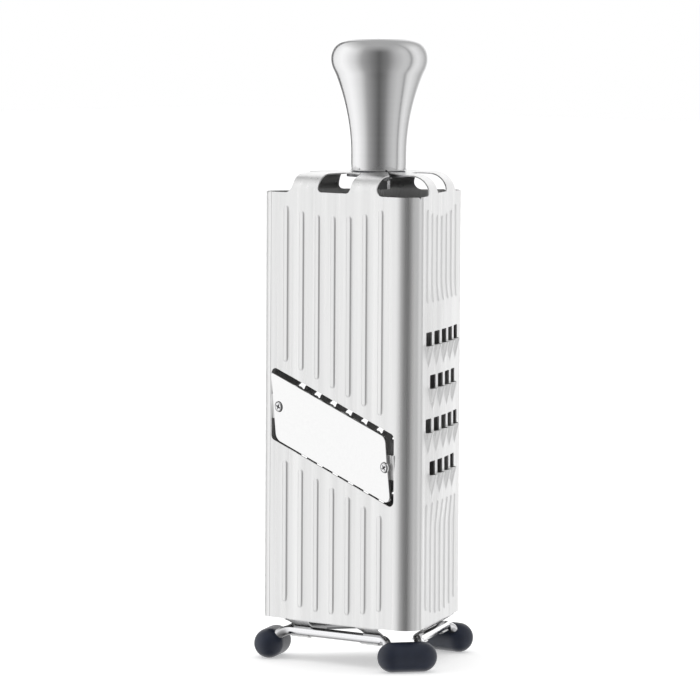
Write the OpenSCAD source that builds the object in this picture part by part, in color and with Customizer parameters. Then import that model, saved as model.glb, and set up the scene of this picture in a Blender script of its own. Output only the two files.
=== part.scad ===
// Free-standing three-sided slicer and grater tower with a knob handle.
// +Z is up, z = 0 is the surface it stands on, the slicing face looks along -Y.
// Origin: centre of the bounding box, at its bottom.

/* [Body] */
// Distance from the tower's axis to the outside of each face
face_reach = 31; // [30:0.5:33]
// Outside radius of the three vertical bends
bend_r = 7.7; // [7:0.1:8.4]
// Thickness of the pressed steel sheet
sheet_t = 0.6; // [0.5:0.1:0.8]
// Height of the lower edge at the corners
wall_bottom = 19.5; // [19.3:0.1:19.8]
// Height of the upper edge at the corners
wall_top = 222; // [215:0.5:225]

/* [Crown] */
// Outside radius of the fold over which the crown straps turn inward
fold_r = 9.4; // [8.5:0.1:10]
// Half the width across each face's pair of straps
strap_half_w = 27; // [25:0.5:28]
// Half the width of the slot between the two straps
slot_half_w = 10.5; // [8:0.5:12]

/* [Ribs and cutters] */
// Distance between neighbouring ribs
rib_pitch = 10.2; // [9.5:0.1:10.4]
// Width of one rib on the sheet
rib_w = 3.6; // [3:0.1:4.2]
// How far a rib stands out of the sheet
rib_h = 0.6; // [0.5:0.05:0.9]
// Width of one coarse grating tooth
tooth_w = 10; // [9:0.1:10.6]
// How far the cutting edge of a coarse tooth stands out
tooth_h = 2.1; // [1.6:0.1:2.3]
// Distance between neighbouring coarse teeth
tooth_pitch = 14.4; // [13.5:0.1:14.6]
// Radius of one fine rasp hole
rasp_r = 1.75; // [1.3:0.05:1.9]
// Distance between neighbouring columns of rasp holes
rasp_pitch = 7.8; // [7.5:0.1:8.2]

/* [Blade] */
// Slope of the slicing blade and its window, as rise over run
blade_slope = -0.358; // [-0.38:0.002:-0.34]
// Thickness of the slicing blade
blade_t = 1.2; // [1:0.1:1.4]
// Angle that lifts the cutting edge out of the face
blade_tilt = 4.2; // [3.5:0.1:4.5]
// How far the middle of the blade stands out of the face
blade_out = 0.6; // [0.4:0.1:0.8]

/* [Knob] */
// Height of the knob above its seat
knob_h = 63; // [60:0.5:66]
// Radius of the knob's waist
knob_waist_r = 13.6; // [13:0.1:14]
// Largest radius of the knob
knob_head_r = 23.8; // [23:0.1:25]

/* [Foot frame] */
// Diameter of the foot frame's wire
wire_d = 4.6; // [4.4:0.1:4.8]
// Height of the wire's centre under the walls
wire_z = 13.8; // [13.6:0.1:14]
// Radius of the capsule feet
foot_r = 7.05; // [6.8:0.05:7.3]
// Half the distance between a foot's two round ends
foot_half = 7.3; // [7:0.1:7.6]
// Distance from the tower's axis to each foot
foot_reach = 50.5; // [50:0.1:51.5]

/* [Hidden] */
$fn = 48;
eps = 0.01;
steel = [0.80, 0.80, 0.81];
bright = [0.90, 0.90, 0.91];
rubber = [0.13, 0.14, 0.19];
dark = [0.18, 0.18, 0.19];

// plan of the triangular tower
arc_x = 40.4;
arc_y = bend_r - face_reach;
inner_y = -face_reach + sheet_t;
seam_gap = 0.06;

// feet: flattened a little where they stand
foot_z = foot_r - 0.15;
foot_front = foot_reach / 2 + foot_half * cos(30) + foot_r;
foot_back = foot_reach + foot_r;
axis_y = (foot_front - foot_back) / 2;

// crown heights
fold_z = wall_top + 0.5;
crown_z = fold_z + fold_r;
shoulder_x = 31.4;
shoulder_r = shoulder_x - strap_half_w;
hub_r = 16.4;
bolt_r = 3;
seal_t = 0.5;
knob_z = crown_z + seal_t;

// tabs that wrap the foot frame's wire
tab_in = 15.4;
tab_out = 31.4;
sleeve_in = 16.9;
sleeve_out = 28.3;
wire_r = wire_d / 2;
wire_in = 3.8;
hook_angle = 55;
hook_end = -135;
wire_y = -face_reach + wire_in;
curl_r = wire_r + sheet_t;

// ribs: heights of the ends follow straight lines or shallow arcs across the face
RIBS = [-3:3];
window_z = 107.85;
window_x = 39.7;
window_h = 34.7;
rib_r = (pow(rib_w / 2, 2) + rib_h * rib_h) / (2 * rib_h);
function rib_top(i) = wall_top - 9.8 + 0.45 * i * i;
function rib_foot(i) = wall_bottom + 4 + 0.4 * i * i;
function slope_z(x) = window_z + blade_slope * x;

// coarse teeth: four rows, five and four teeth in turn
tooth_rows = [for (k = [0:3]) 151.9 - 20.35 * k];
tooth_open = 6.4;
tooth_len = 9;

// fine rasp field: eight columns, the odd rows between the even ones
rasp_row_pitch = 4.4;
rasp_low = 63;
RASP_ROWS = [0:25];
RASP_HOLES = [0:3];

// slicing blade fixings
screw_x = 34.3;
screw_r = 1.5;
screw_head_r = 2.65;
ear_half_h = 5.8;

// ---------- helpers ----------

// Everything below is drawn about the tower's own axis
module place() { translate([0, axis_y, 0]) children(); }

// Turns a part drawn for the slicing face to face k (0 slicer, 1 coarse, 2 fine)
module face(k) { rotate([0, 0, 120 * k]) children(); }

// Pushes a face-on outline (x, z) through the sheet, from y0 to y1
module through(y0, y1) {
  translate([0, y1, 0]) rotate([90, 0, 0]) linear_extrude(y1 - y0) children();
}

// Corner b of the outline a-b-c rounded with radius r, as points on an arc
function unit(v) = v / norm(v);
function corner(a, b, c, r) =
  let (
    u = unit(a - b),
    w = unit(c - b),
    half = acos(u * w) / 2,
    centre = b + unit(u + w) * (r / sin(half)),
    s = b + u * (r / tan(half)) - centre,
    e = b + w * (r / tan(half)) - centre,
    a0 = atan2(s[1], s[0]),
    turn = (atan2(e[1], e[0]) - a0 + 540) % 360 - 180
  )
  [for (k = [0:6]) centre + r * [cos(a0 + turn * k / 6), sin(a0 + turn * k / 6)]];
function rounded(p, radii) =
  let (n = len(p))
  [for (i = [0:n - 1]) each corner(p[(i + n - 1) % n], p[i], p[(i + 1) % n], radii[i])];

// Points of a cubic curve from p to q with handles a and b
function curve(p, a, b, q, n) =
  [for (k = [0:n]) let (t = k / n, s = 1 - t)
    s * s * s * p + 3 * s * s * t * a + 3 * s * t * t * b + t * t * t * q];

// ---------- sheet panels ----------

// Plan of one panel: the flat face and the bend at its right-hand end
module panel_plan() {
  translate([-arc_x + seam_gap, -face_reach]) square([2 * arc_x - seam_gap, sheet_t]);
  translate([arc_x, arc_y]) intersection() {
    difference() {
      circle(bend_r);
      circle(bend_r - sheet_t);
    }
    union() {
      translate([0, -2 * bend_r]) square(2 * bend_r);
      rotate(30) translate([0, -2 * bend_r]) square(2 * bend_r);
    }
  }
}

// Flat flap above the wall, with its hollow shoulders, seen face-on
module flap_front() {
  difference() {
    translate([-shoulder_x, wall_top - 1]) square([2 * shoulder_x, fold_r + 3]);
    for (s = [-1, 1]) translate([s * shoulder_x, wall_top + shoulder_r]) circle(shoulder_r);
    for (s = [-1, 1]) translate([s * (shoulder_x + strap_half_w) / 2, wall_top + shoulder_r + 10])
      square([shoulder_r, 20], center = true);
  }
}

// Plan of the two straps, running in to their third of the hub
module flap_plan() {
  fold_end = -face_reach + fold_r;
  hub = hub_r * [sin(60), -cos(60)];
  polygon([
    [-strap_half_w, fold_end - 1], [-hub[0], hub[1]], [0, -seam_gap],
    [hub[0], hub[1]], [strap_half_w, fold_end - 1],
    [shoulder_x, -face_reach - 1], [-shoulder_x, -face_reach - 1]
  ]);
}

// Side profile of the flap: a quarter turn, then level to the hub
module flap_side() {
  translate([-face_reach + fold_r, fold_z]) intersection() {
    difference() {
      circle(fold_r);
      circle(fold_r - sheet_t);
    }
    translate([-fold_r, 0]) square(fold_r);
  }
  translate([-face_reach, wall_top - 0.5]) square([sheet_t, fold_z - wall_top + 0.5]);
  translate([-face_reach + fold_r, crown_z - sheet_t]) square([face_reach - fold_r, sheet_t]);
}

module crown_slot() {
  slot_low = fold_z + 0.2;
  w = slot_half_w;
  intersection() {
    through(-face_reach - 2, 0)
      polygon(rounded([[-w, slot_low], [w, slot_low], [w, crown_z + 3], [-w, crown_z + 3]],
                      [2.5, 2.5, 0.5, 0.5]));
    translate([0, 0, fold_z]) linear_extrude(fold_r + 3)
      polygon(rounded([[-w, -face_reach - 2], [w, -face_reach - 2], [w, -27],
                       [5.2, -16], [-5.2, -16], [-w, -27]],
                      [1, 1, 6, 4, 4, 6]));
  }
}

module crown_flap() {
  intersection() {
    rotate([90, 0, 90]) linear_extrude(2 * shoulder_x, center = true) flap_side();
    through(-face_reach - 1, 1) flap_front();
    translate([0, 0, wall_top - 2]) linear_extrude(fold_r + 5) flap_plan();
  }
}

// Side profile of a wire tab: a neck sloping inward over the wire, then a hook behind and under it
module tab_side() {
  y = -face_reach;
  out = [cos(hook_angle), sin(hook_angle)];
  along = [out[1], -out[0]];
  low = [wire_y, wire_z] + wire_r * out;
  high = low + sheet_t * out;
  lap = 0.1 * along;
  polygon([[y, wall_bottom + 0.4], [y, low[1] + (low[0] - y) / tan(hook_angle)], low + lap, high + lap,
           [y + sheet_t, high[1] + (high[0] - y - sheet_t) / tan(hook_angle)],
           [y + sheet_t, wall_bottom + 0.4]]);
  translate([wire_y, wire_z]) difference() {
    intersection() {
      circle(curl_r);
      polygon(concat([[0, 0]], [for (a = [hook_angle, 0, -45, -90, hook_end]) 3 * curl_r * [cos(a), sin(a)]]));
    }
    circle(wire_r);
  }
}

module wire_tabs() {
  for (s = [0, 1]) mirror([s, 0, 0]) intersection() {
    rotate([90, 0, 90]) linear_extrude(tab_out + 4) tab_side();
    through(-face_reach - 3, 0)
      polygon([[tab_in, wall_bottom + 1], [tab_in, wall_bottom - 0.4], [sleeve_in, 16.8],
               [sleeve_in, 0], [sleeve_out, 0], [sleeve_out, 16.8],
               [sleeve_out + 1, 18.6], [tab_out, wall_bottom], [tab_out, wall_bottom + 1]]);
  }
}

// A rib from z0 up to z1, pressed outward, with round ends
module rib(x, z0, z1) {
  r = rib_r;
  intersection() {
    translate([x, -face_reach - rib_h + r, 0]) union() {
      translate([0, 0, z0 + rib_w / 2]) cylinder(r = r, h = z1 - z0 - rib_w);
      translate([0, 0, z0 + rib_w / 2]) sphere(r);
      translate([0, 0, z1 - rib_w / 2]) sphere(r);
    }
    translate([x - rib_w, -face_reach - 2, z0 - 2])
      cube([2 * rib_w, 2 + sheet_t / 2, z1 - z0 + 4]);
  }
}

// One panel without its cutters: wall, bend, crown straps and wire tabs
module plain_panel() {
  difference() {
    union() {
      translate([0, 0, wall_bottom]) linear_extrude(wall_top - wall_bottom) panel_plan();
      crown_flap();
      wire_tabs();
    }
    crown_slot();
    translate([0, 0, crown_z - 3]) cylinder(r = bolt_r + 0.3, h = 6);
  }
}

// ---------- slicing face ----------

function window_outline(grow) =
  let (x = window_x + grow, h = window_h / 2 + grow)
  rounded([[-x, slope_z(-x) - h], [x, slope_z(x) - h], [x, slope_z(x) + h], [-x, slope_z(-x) + h]],
          [2.6, 2.6, 2.6, 2.6]);

// Puts a part drawn in the blade's own plane into the face
module blade_frame() {
  slope_angle = -atan(blade_slope);
  translate([0, -face_reach - blade_out, window_z]) rotate([0, slope_angle, 0])
    rotate([blade_tilt, 0, 0])
      rotate([0, -slope_angle, 0]) translate([0, 0, -window_z]) children();
}

// Ears bent in from the window's two upright edges, behind the blade
module blade_ears() {
  blade_frame() for (s = [-1, 1]) difference() {
    translate([s > 0 ? 30.6 : -window_x - 0.4, blade_t, slope_z(s * screw_x) - ear_half_h])
      cube([window_x + 0.4 - 30.6, sheet_t, 2 * ear_half_h]);
    translate([s * screw_x, 0, slope_z(s * screw_x)]) rotate([-90, 0, 0])
      cylinder(r = screw_r + 0.1, h = 5);
  }
  for (s = [-1, 1]) translate([s > 0 ? window_x - 0.2 : -window_x - 0.4, -face_reach,
                               slope_z(s * screw_x) - ear_half_h])
    cube([0.6, blade_t + 1.2, 2 * ear_half_h]);
}

module slicer_panel() {
  color(steel) place() {
    difference() {
      plain_panel();
      through(-face_reach - 2, -face_reach + 2) polygon(window_outline(0));
    }
    for (i = RIBS) {
      rib(i * rib_pitch, slope_z(i * rib_pitch) + window_h / 2 + 5.2, rib_top(i));
      rib(i * rib_pitch, rib_foot(i), slope_z(i * rib_pitch) - window_h / 2 - 6.2);
    }
    blade_ears();
  }
}

function blade_outline() =
  let (l = -37.2, r = 37.2, top = window_h / 2 - 2.6, low = -window_h / 2 + 0.5)
  rounded([[l, slope_z(l) + low], [r, slope_z(r) + low], [r - 1.6, slope_z(r - 1.6) + top],
           [l - 1.5, slope_z(l - 1.5) + top]], [4.6, 3, 4, 1]);

module slicing_blade() {
  color(bright) place() blade_frame() difference() {
    through(0, blade_t) polygon(blade_outline());
    for (s = [-1, 1]) translate([s * screw_x, 0, slope_z(s * screw_x)]) rotate([-90, 0, 0]) {
      translate([0, 0, -eps]) cylinder(r = screw_r + 0.1, h = blade_t + 1);
      translate([0, 0, -eps]) cylinder(r1 = screw_head_r + 0.05, r2 = screw_r + 0.1, h = 1.1);
    }
  }
}

module blade_screw(s) {
  place() blade_frame() translate([s * screw_x, 0, slope_z(s * screw_x)]) rotate([-90, 0, 0])
    difference() {
      union() {
        cylinder(r1 = screw_head_r - 0.03, r2 = screw_r, h = 1.06);
        cylinder(r = screw_r, h = 5.5);
      }
      for (a = [45, 135]) rotate([0, 0, a]) translate([0, 0, 0.35])
        cube([2.8, 0.6, 0.8], center = true);
    }
}
module blade_screw_left() { color(bright) blade_screw(-1); }
module blade_screw_right() { color(bright) blade_screw(1); }

module blade_nut(s) {
  place() blade_frame() translate([s * screw_x, blade_t + sheet_t, slope_z(s * screw_x)])
    rotate([-90, 0, 0]) difference() {
      cylinder(r = 3.15, h = 2.4, $fn = 6);
      translate([0, 0, -1]) cylinder(r = screw_r + 0.02, h = 5);
    }
}
module blade_nut_left() { color(steel) blade_nut(-1); }
module blade_nut_right() { color(steel) blade_nut(1); }

// ---------- coarse grating face ----------

// Leaning cylinder whose outside forms a tooth: it sinks into the sheet going down
module tooth_barrel(x, z, shrink) {
  r = (pow(tooth_w / 2, 2) + tooth_h * tooth_h) / (2 * tooth_h);
  lean = atan(tooth_h / tooth_len);
  translate([x, -face_reach - tooth_h + r, z]) rotate([180 + lean, 0, 0])
    translate([0, 0, -3]) cylinder(r = r - shrink, h = tooth_len + 12);
}

module tooth_shell(x, z) {
  intersection() {
    difference() {
      tooth_barrel(x, z, 0);
      tooth_barrel(x, z, sheet_t);
    }
    translate([x - tooth_w, -face_reach - 4, z - tooth_len - 4])
      cube([2 * tooth_w, 4 + sheet_t / 2, tooth_len + 4]);
  }
}

module tooth_gap(x, z) {
  intersection() {
    tooth_barrel(x, z, sheet_t);
    translate([x - tooth_w, -face_reach - 4, z - tooth_len - 4])
      cube([2 * tooth_w, 4 + 2 * sheet_t, tooth_len + 4 + eps]);
  }
  translate([x - tooth_w / 2 + 0.3, -face_reach - 1, z])
    cube([tooth_w - 0.6, 4, tooth_open]);
}

module coarse_panel() {
  color(steel) place() face(1) {
    difference() {
      plain_panel();
      for (k = [0:3], i = [0:4 - k % 2])
        tooth_gap((i - (4 - k % 2) / 2) * tooth_pitch, tooth_rows[k]);
    }
    for (k = [0:3], i = [0:4 - k % 2])
      tooth_shell((i - (4 - k % 2) / 2) * tooth_pitch, tooth_rows[k]);
    for (i = RIBS) {
      rib(i * rib_pitch, 171.5, rib_top(i));
      rib(i * rib_pitch, rib_foot(i), 78);
    }
  }
}

// ---------- fine grating face ----------

// Places hole i of row k
module rasp_at(i, k) {
  x = (2 * i + k % 2 - 3.5) * rasp_pitch;
  translate([x, -face_reach, rasp_low + k * rasp_row_pitch]) rotate([90, 0, 0]) children();
}

module fine_panel() {
  color(steel) place() face(2) difference() {
    union() {
      plain_panel();
      for (k = RASP_ROWS, i = RASP_HOLES) rasp_at(i, k)
        translate([0, 0, -0.2]) cylinder(r1 = rasp_r + 0.9, r2 = rasp_r + 0.15, h = 1.3);
      for (i = RIBS) {
        rib(i * rib_pitch, 182, rib_top(i));
        rib(i * rib_pitch, rib_foot(i), 51);
      }
    }
    for (k = RASP_ROWS, i = RASP_HOLES) rasp_at(i, k)
      translate([0, 0, -2]) cylinder(r = rasp_r, h = 5, $fn = 24);
  }
}

// ---------- crown fixing and knob ----------

module crown_clamp_plate() {
  color(steel) place() translate([0, 0, crown_z - sheet_t - 1.5]) difference() {
    cylinder(r = 15, h = 1.5);
    translate([0, 0, -1]) cylinder(r = bolt_r + 0.3, h = 4);
  }
}

module clamp_washer() {
  color(steel) place() translate([0, 0, crown_z - sheet_t - 2.6]) difference() {
    cylinder(r = 6.2, h = 1.1);
    translate([0, 0, -1]) cylinder(r = bolt_r + 0.2, h = 4);
  }
}

// Split spring washer that keeps the bolt from working loose
module knob_lock_washer() {
  color(steel) place() translate([0, 0, crown_z - sheet_t - 3.6]) difference() {
    cylinder(r = 5, h = 1);
    translate([0, 0, -1]) cylinder(r = bolt_r + 0.1, h = 4);
    rotate([0, 0, 20]) translate([0, -0.4, -1]) cube([8, 0.8, 4]);
  }
}

module knob_bolt() {
  head_h = 4;
  color(steel) place() translate([0, 0, crown_z - sheet_t - 3.6 - head_h]) {
    cylinder(r = 5.77, h = head_h, $fn = 6);
    cylinder(r = bolt_r, h = 28);
  }
}

module knob_seal() {
  color(dark) place() translate([0, 0, crown_z]) difference() {
    cylinder(r = 12.7, h = seal_t);
    translate([0, 0, -1]) cylinder(r = bolt_r + 0.3, h = 3);
  }
}

module knob_base_disc() {
  color(steel) place() translate([0, 0, knob_z]) difference() {
    cylinder(r = 11.6, h = 1.2);
    translate([0, 0, -1]) cylinder(r = bolt_r + 0.3, h = 4);
  }
}

module knob_threaded_boss() {
  color(steel) place() translate([0, 0, knob_z + 1.2]) difference() {
    cylinder(r = 6, h = 18);
    translate([0, 0, -1]) cylinder(r = bolt_r + 0.02, h = 17);
  }
}

// Side of the knob, from its foot to the middle of its flat top; inset for the inside
function knob_side(inset) =
  let (w = knob_waist_r - inset, h = knob_head_r - inset, top = knob_h - inset, n = 12)
  concat(
    [[w - 1, 0], [w - 0.35, 0.45], [w, 3.5]],
    curve([w, 7.5], [w, 22.5], [0.79 * w + 0.28 * h, 36], [w + 0.853 * (h - w), 46.5], n),
    curve([w + 0.853 * (h - w), 46.5], [w + 0.951 * (h - w), 48.7], [h, 50.7], [h, 53], n),
    curve([h, 53], [h, 57.9], [h - 3.2, top], [h - 7.8, top], n)
  );

module knob_shell() {
  color(steel) place() translate([0, 0, knob_z]) rotate_extrude($fn = 96) difference() {
    polygon(concat([[0, 0]], knob_side(0), [[0, knob_h]]));
    polygon(concat([[0, -1], [11.6, -1], [11.6, 1.2]], [for (p = knob_side(1.2)) if (p[1] > 3) p],
                   [[0, knob_h - 1.2]]));
  }
}

// ---------- foot frame ----------

// One side of the loop: where the bar starts to dip, and where it runs inside a foot
BAR_END = [sleeve_out, wire_y, wire_z];
FOOT_IN = [foot_reach * cos(30) - foot_half / 2, -foot_reach / 2 - foot_half * cos(30), foot_z];
FOOT_OUT = [foot_reach * cos(30) + foot_half / 2, -foot_reach / 2 + foot_half * cos(30), foot_z];
wire_sides = 14;

// Down from the bar into the foot, turning to run along the foot's own axis
function dip() =
  let (along = unit(FOOT_OUT - FOOT_IN))
  curve(BAR_END, BAR_END + [7.5, 0, 0], FOOT_IN - 3 * along + [-3, 0, 2.2], FOOT_IN + 3 * along, 9);

function flip_x(p) = [-p[0], p[1], p[2]];
function turned(p, a) = [p[0] * cos(a) - p[1] * sin(a), p[0] * sin(a) + p[1] * cos(a), p[2]];
function back_to_front(path) = [for (k = [len(path) - 1:-1:0]) path[k]];
function side_path() = concat([for (p = back_to_front(dip())) flip_x(p)], dip());
function loop_path() = [for (k = [0:2]) each [for (p = side_path()) turned(p, 120 * k)]];

// Closed round tube along a ring of points
module wire_loop() {
  path = loop_path();
  n = len(path);
  m = wire_sides;
  rings = [for (i = [0:n - 1])
    let (
      along = unit(path[(i + 1) % n] - path[(i + n - 1) % n]),
      side = unit(cross([0, 0, 1], along)),
      up = cross(along, side)
    )
    each [for (k = [0:m - 1]) path[i] + wire_r * (cos(360 * k / m) * side + sin(360 * k / m) * up)]];
  quads = [for (i = [0:n - 1], k = [0:m - 1])
    [i * m + k, i * m + (k + 1) % m, (i + 1) % n * m + (k + 1) % m, (i + 1) % n * m + k]];
  polyhedron(rings, [for (q = quads) each [[q[0], q[3], q[2]], [q[0], q[2], q[1]]]]);
}

module foot_wire_frame() { color(bright) place() wire_loop(); }

module foot(k) {
  place() difference() {
    intersection() {
      face(k) rotate([0, 0, -30]) translate([foot_reach, 0, foot_z]) rotate([90, 0, 0]) {
        cylinder(r = foot_r, h = 2 * foot_half, center = true);
        for (s = [-1, 1]) translate([0, 0, s * foot_half]) sphere(foot_r);
      }
      translate([-100, -100, 0]) cube(200);
    }
    wire_loop();
  }
}
module foot_front_left() { color(rubber) foot(2); }
module foot_front_right() { color(rubber) foot(0); }
module foot_rear() { color(rubber) foot(1); }

slicer_panel();
coarse_panel();
fine_panel();
slicing_blade();
blade_screw_left();
blade_screw_right();
blade_nut_left();
blade_nut_right();
crown_clamp_plate();
clamp_washer();
knob_lock_washer();
knob_bolt();
knob_seal();
knob_base_disc();
knob_threaded_boss();
knob_shell();
foot_wire_frame();
foot_front_left();
foot_front_right();
foot_rear();
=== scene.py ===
import bpy
import math
from mathutils import Matrix, Vector
from mathutils.geometry import delaunay_2d_cdt

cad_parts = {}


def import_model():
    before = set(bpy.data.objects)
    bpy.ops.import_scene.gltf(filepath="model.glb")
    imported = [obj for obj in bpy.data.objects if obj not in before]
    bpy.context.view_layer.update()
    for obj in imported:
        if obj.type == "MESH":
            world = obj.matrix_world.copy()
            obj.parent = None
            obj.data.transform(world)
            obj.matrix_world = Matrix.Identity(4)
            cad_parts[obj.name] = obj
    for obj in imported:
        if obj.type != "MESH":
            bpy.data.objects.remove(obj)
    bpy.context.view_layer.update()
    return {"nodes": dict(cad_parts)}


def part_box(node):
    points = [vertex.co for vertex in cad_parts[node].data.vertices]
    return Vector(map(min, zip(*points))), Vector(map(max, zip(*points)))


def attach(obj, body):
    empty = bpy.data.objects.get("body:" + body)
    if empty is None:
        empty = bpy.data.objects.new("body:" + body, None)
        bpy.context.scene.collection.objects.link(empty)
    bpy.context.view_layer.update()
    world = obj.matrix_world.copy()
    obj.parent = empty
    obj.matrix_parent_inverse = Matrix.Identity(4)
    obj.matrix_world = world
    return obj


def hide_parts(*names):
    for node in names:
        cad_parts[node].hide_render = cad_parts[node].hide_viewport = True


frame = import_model()

MM = 0.001
BODY = "root"

# ---------------------------------------------------------------- sizes, in mm
knob_low, knob_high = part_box("knob_shell")
AXIS_X = (knob_low.x + knob_high.x) / 2 / MM
AXIS_Y = (knob_low.y + knob_high.y) / 2 / MM
KNOB_FOOT = knob_low.z / MM
KNOB_TOP = knob_high.z / MM

REACH = 31.0          # tower axis to the outside of a face
BEND_R = 7.7
SHEET = 0.6
ARC_X = 40.4
ARC_Y = BEND_R - REACH
BEND_LEN = BEND_R * math.radians(120)
LIP_ANGLE = math.radians(114)
SEAM = 0.06
WALL_LOW = 19.5
WALL_TOP = 222.0
FOLD_Z = 222.5
FOLD_ANGLE = math.radians(86.5)
FOLD_R = 9.0
FOLD_END = FOLD_Z + FOLD_R * FOLD_ANGLE
SHOULDER_X = 31.4
STRAP_X = 27.0
SHOULDER_R = SHOULDER_X - STRAP_X
SLOT_X = 10.5
HUB_R = 16.4
BORE_R = 3.3
TAB_TOP = 19.0
TAB_IN = 15.4
HOOK_IN = 16.9        # the part of a tab that holds the wire lies between these two
HOOK_OUT = 28.3
WIRE_R = 2.3
WIRE_Z = 13.8
WIRE_Y = -REACH + 3.8
FOOT_REACH = 50.5
FOOT_R = 7.05
FOOT_HALF = 7.3
FOOT_Z = FOOT_R - 0.15

RIB_PITCH = 10.2
RIB_HALF = 1.9
RIB_TOP = 0.75        # half the width of a rib's flat top
RIB_H = 0.39
DISH = 0.16           # how far the sheet is drawn in between ribs
DISH_FADE = 12.0
RIBS = range(-3, 4)
SLOPE = -0.358
WINDOW_Z = 107.85
WINDOW_X = 39.7
WINDOW_H = 34.7
SCREW_X = 34.3
SCREW_R = 1.5
SCREW_HOLE_R = 2.5
SCREW_HEAD_R = 2.42
SCREW_FLAT_R = 1.72
SCREW_OUT = 0.55      # how far the head stands in front of the blade
SCREW_END = 5.4
EAR_HALF = 5.8
BLADE_X = 37.2
BLADE_T = 1.2
BLADE_TILT = math.radians(4.2)
BLADE_OUT = 0.6

TOOTH_HALF = 5.0
TOOTH_H = 2.3
TOOTH_LEN = 10.0
BOW = 1.3             # how far the middle of the coarse cutting field is pressed out
BOW_X = 38.0
BOW_LOW = 64.0
BOW_HIGH = 182.0
BOW_FADE = 16.0
COARSE_FIELD = (78.0, 171.5)
TOOTH_OPEN = 6.4
TOOTH_PITCH = 14.4
TOOTH_ROWS = [151.9 - 20.35 * k for k in range(4)]
RASP_R = 2.05
RASP_H = 0.95
RASP_LIP = 1.15       # width of the raised edge round a rasp hole
RASP_PITCH = 7.8
RASP_ROW = 4.4
RASP_LOW = 63.0
RASP_ROWS = 26
FINE_FIELD = (51.0, 182.0)


def slope_z(x):
    return WINDOW_Z + SLOPE * x


def rib_top(i):
    return WALL_TOP - 9.8 + 0.45 * i * i


def rib_foot(i):
    return WALL_LOW + 4 + 0.4 * i * i


def to_row(point, face=0):
    """A point beside the tower's axis, in mm and drawn for the slicing face, in the row frame in metres."""
    turned = Matrix.Rotation(math.radians(120 * face), 3, "Z") @ Vector(point)
    return Vector((turned.x + AXIS_X, turned.y + AXIS_Y, turned.z)) * MM


# ---------------------------------------------------------------- small mesh helpers

def add_piece(name, verts, faces, material, replaced):
    """A smooth-shaded piece that takes the place of one CAD node in the picture."""
    mesh = bpy.data.meshes.new(name)
    mesh.from_pydata([tuple(v) for v in verts], [], faces)
    mesh.validate()
    mesh.update()
    obj = bpy.data.objects.new(name, mesh)
    bpy.context.scene.collection.objects.link(obj)
    mesh.materials.append(material)
    mesh.polygons.foreach_set("use_smooth", [True] * len(mesh.polygons))
    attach(obj, BODY)
    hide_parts(replaced)
    return obj


def sharpen(obj, degrees):
    obj.data.set_sharp_from_angle(angle=math.radians(degrees))


def rounded(points, radii, steps=7):
    """The outline with each corner replaced by an arc."""
    out = []
    n = len(points)
    for i in range(n):
        a = Vector(points[i - 1])
        b = Vector(points[i])
        c = Vector(points[(i + 1) % n])
        u = (a - b).normalized()
        w = (c - b).normalized()
        half = u.angle(w) / 2
        r = radii[i]
        centre = b + (u + w).normalized() * (r / math.sin(half))
        s = b + u * (r / math.tan(half)) - centre
        e = b + w * (r / math.tan(half)) - centre
        a0 = math.atan2(s.y, s.x)
        turn = (math.atan2(e.y, e.x) - a0 + 3 * math.pi) % (2 * math.pi) - math.pi
        for k in range(steps + 1):
            t = a0 + turn * k / steps
            out.append((centre.x + r * math.cos(t), centre.y + r * math.sin(t)))
    return out


def bezier(p, a, b, q, n):
    p, a, b, q = Vector(p), Vector(a), Vector(b), Vector(q)
    pts = []
    for k in range(n + 1):
        t = k / n
        s = 1 - t
        pts.append(s * s * s * p + 3 * s * s * t * a + 3 * s * t * t * b + t * t * t * q)
    return pts


def revolve(profile, steps):
    """Vertices and faces of a closed or pole-ended profile (r, z) turned about the vertical."""
    verts = []
    faces = []
    rings = []
    for r, z in profile:
        if r < 1e-6:
            rings.append([len(verts)])
            verts.append((0, 0, z))
            continue
        rings.append(list(range(len(verts), len(verts) + steps)))
        for k in range(steps):
            t = 2 * math.pi * k / steps
            verts.append((r * math.cos(t), r * math.sin(t), z))
    for low, high in zip(rings, rings[1:]):
        for k in range(steps):
            j = (k + 1) % steps
            if len(low) == 1:
                faces.append((low[0], high[j], high[k]))
            elif len(high) == 1:
                faces.append((low[k], low[j], high[0]))
            else:
                faces.append((low[k], low[j], high[j], high[k]))
    return verts, faces


# ---------------------------------------------------------------- materials

def new_material(name):
    mat = bpy.data.materials.new(name)
    mat.use_nodes = True
    tree = mat.node_tree
    return mat, tree, tree.nodes["Principled BSDF"]


def node(tree, kind, **values):
    n = tree.nodes.new(kind)
    for key, value in values.items():
        if key in n.inputs:
            n.inputs[key].default_value = value
        else:
            setattr(n, key, value)
    return n


def noise(tree, scale, stretch, detail, rough):
    """Noise in object space, stretched along the axes that have a small factor."""
    coords = node(tree, "ShaderNodeTexCoord")
    mapping = node(tree, "ShaderNodeMapping")
    mapping.inputs["Scale"].default_value = stretch
    tex = node(tree, "ShaderNodeTexNoise")
    tex.inputs["Scale"].default_value = scale
    tex.inputs["Detail"].default_value = detail
    tex.inputs["Roughness"].default_value = rough
    tree.links.new(coords.outputs["Object"], mapping.inputs["Vector"])
    tree.links.new(mapping.outputs["Vector"], tex.inputs["Vector"])
    return tex.outputs["Fac"]


def ramp(tree, source, low, high, from_low=0.3, from_high=0.7):
    """A value moved from one range to another and kept inside it; noise spreads over 0.3 to 0.7."""
    m = node(tree, "ShaderNodeMapRange")
    m.inputs["From Min"].default_value = from_low
    m.inputs["From Max"].default_value = from_high
    m.inputs["To Min"].default_value = low
    m.inputs["To Max"].default_value = high
    tree.links.new(source, m.inputs["Value"])
    return m.outputs["Result"]


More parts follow.
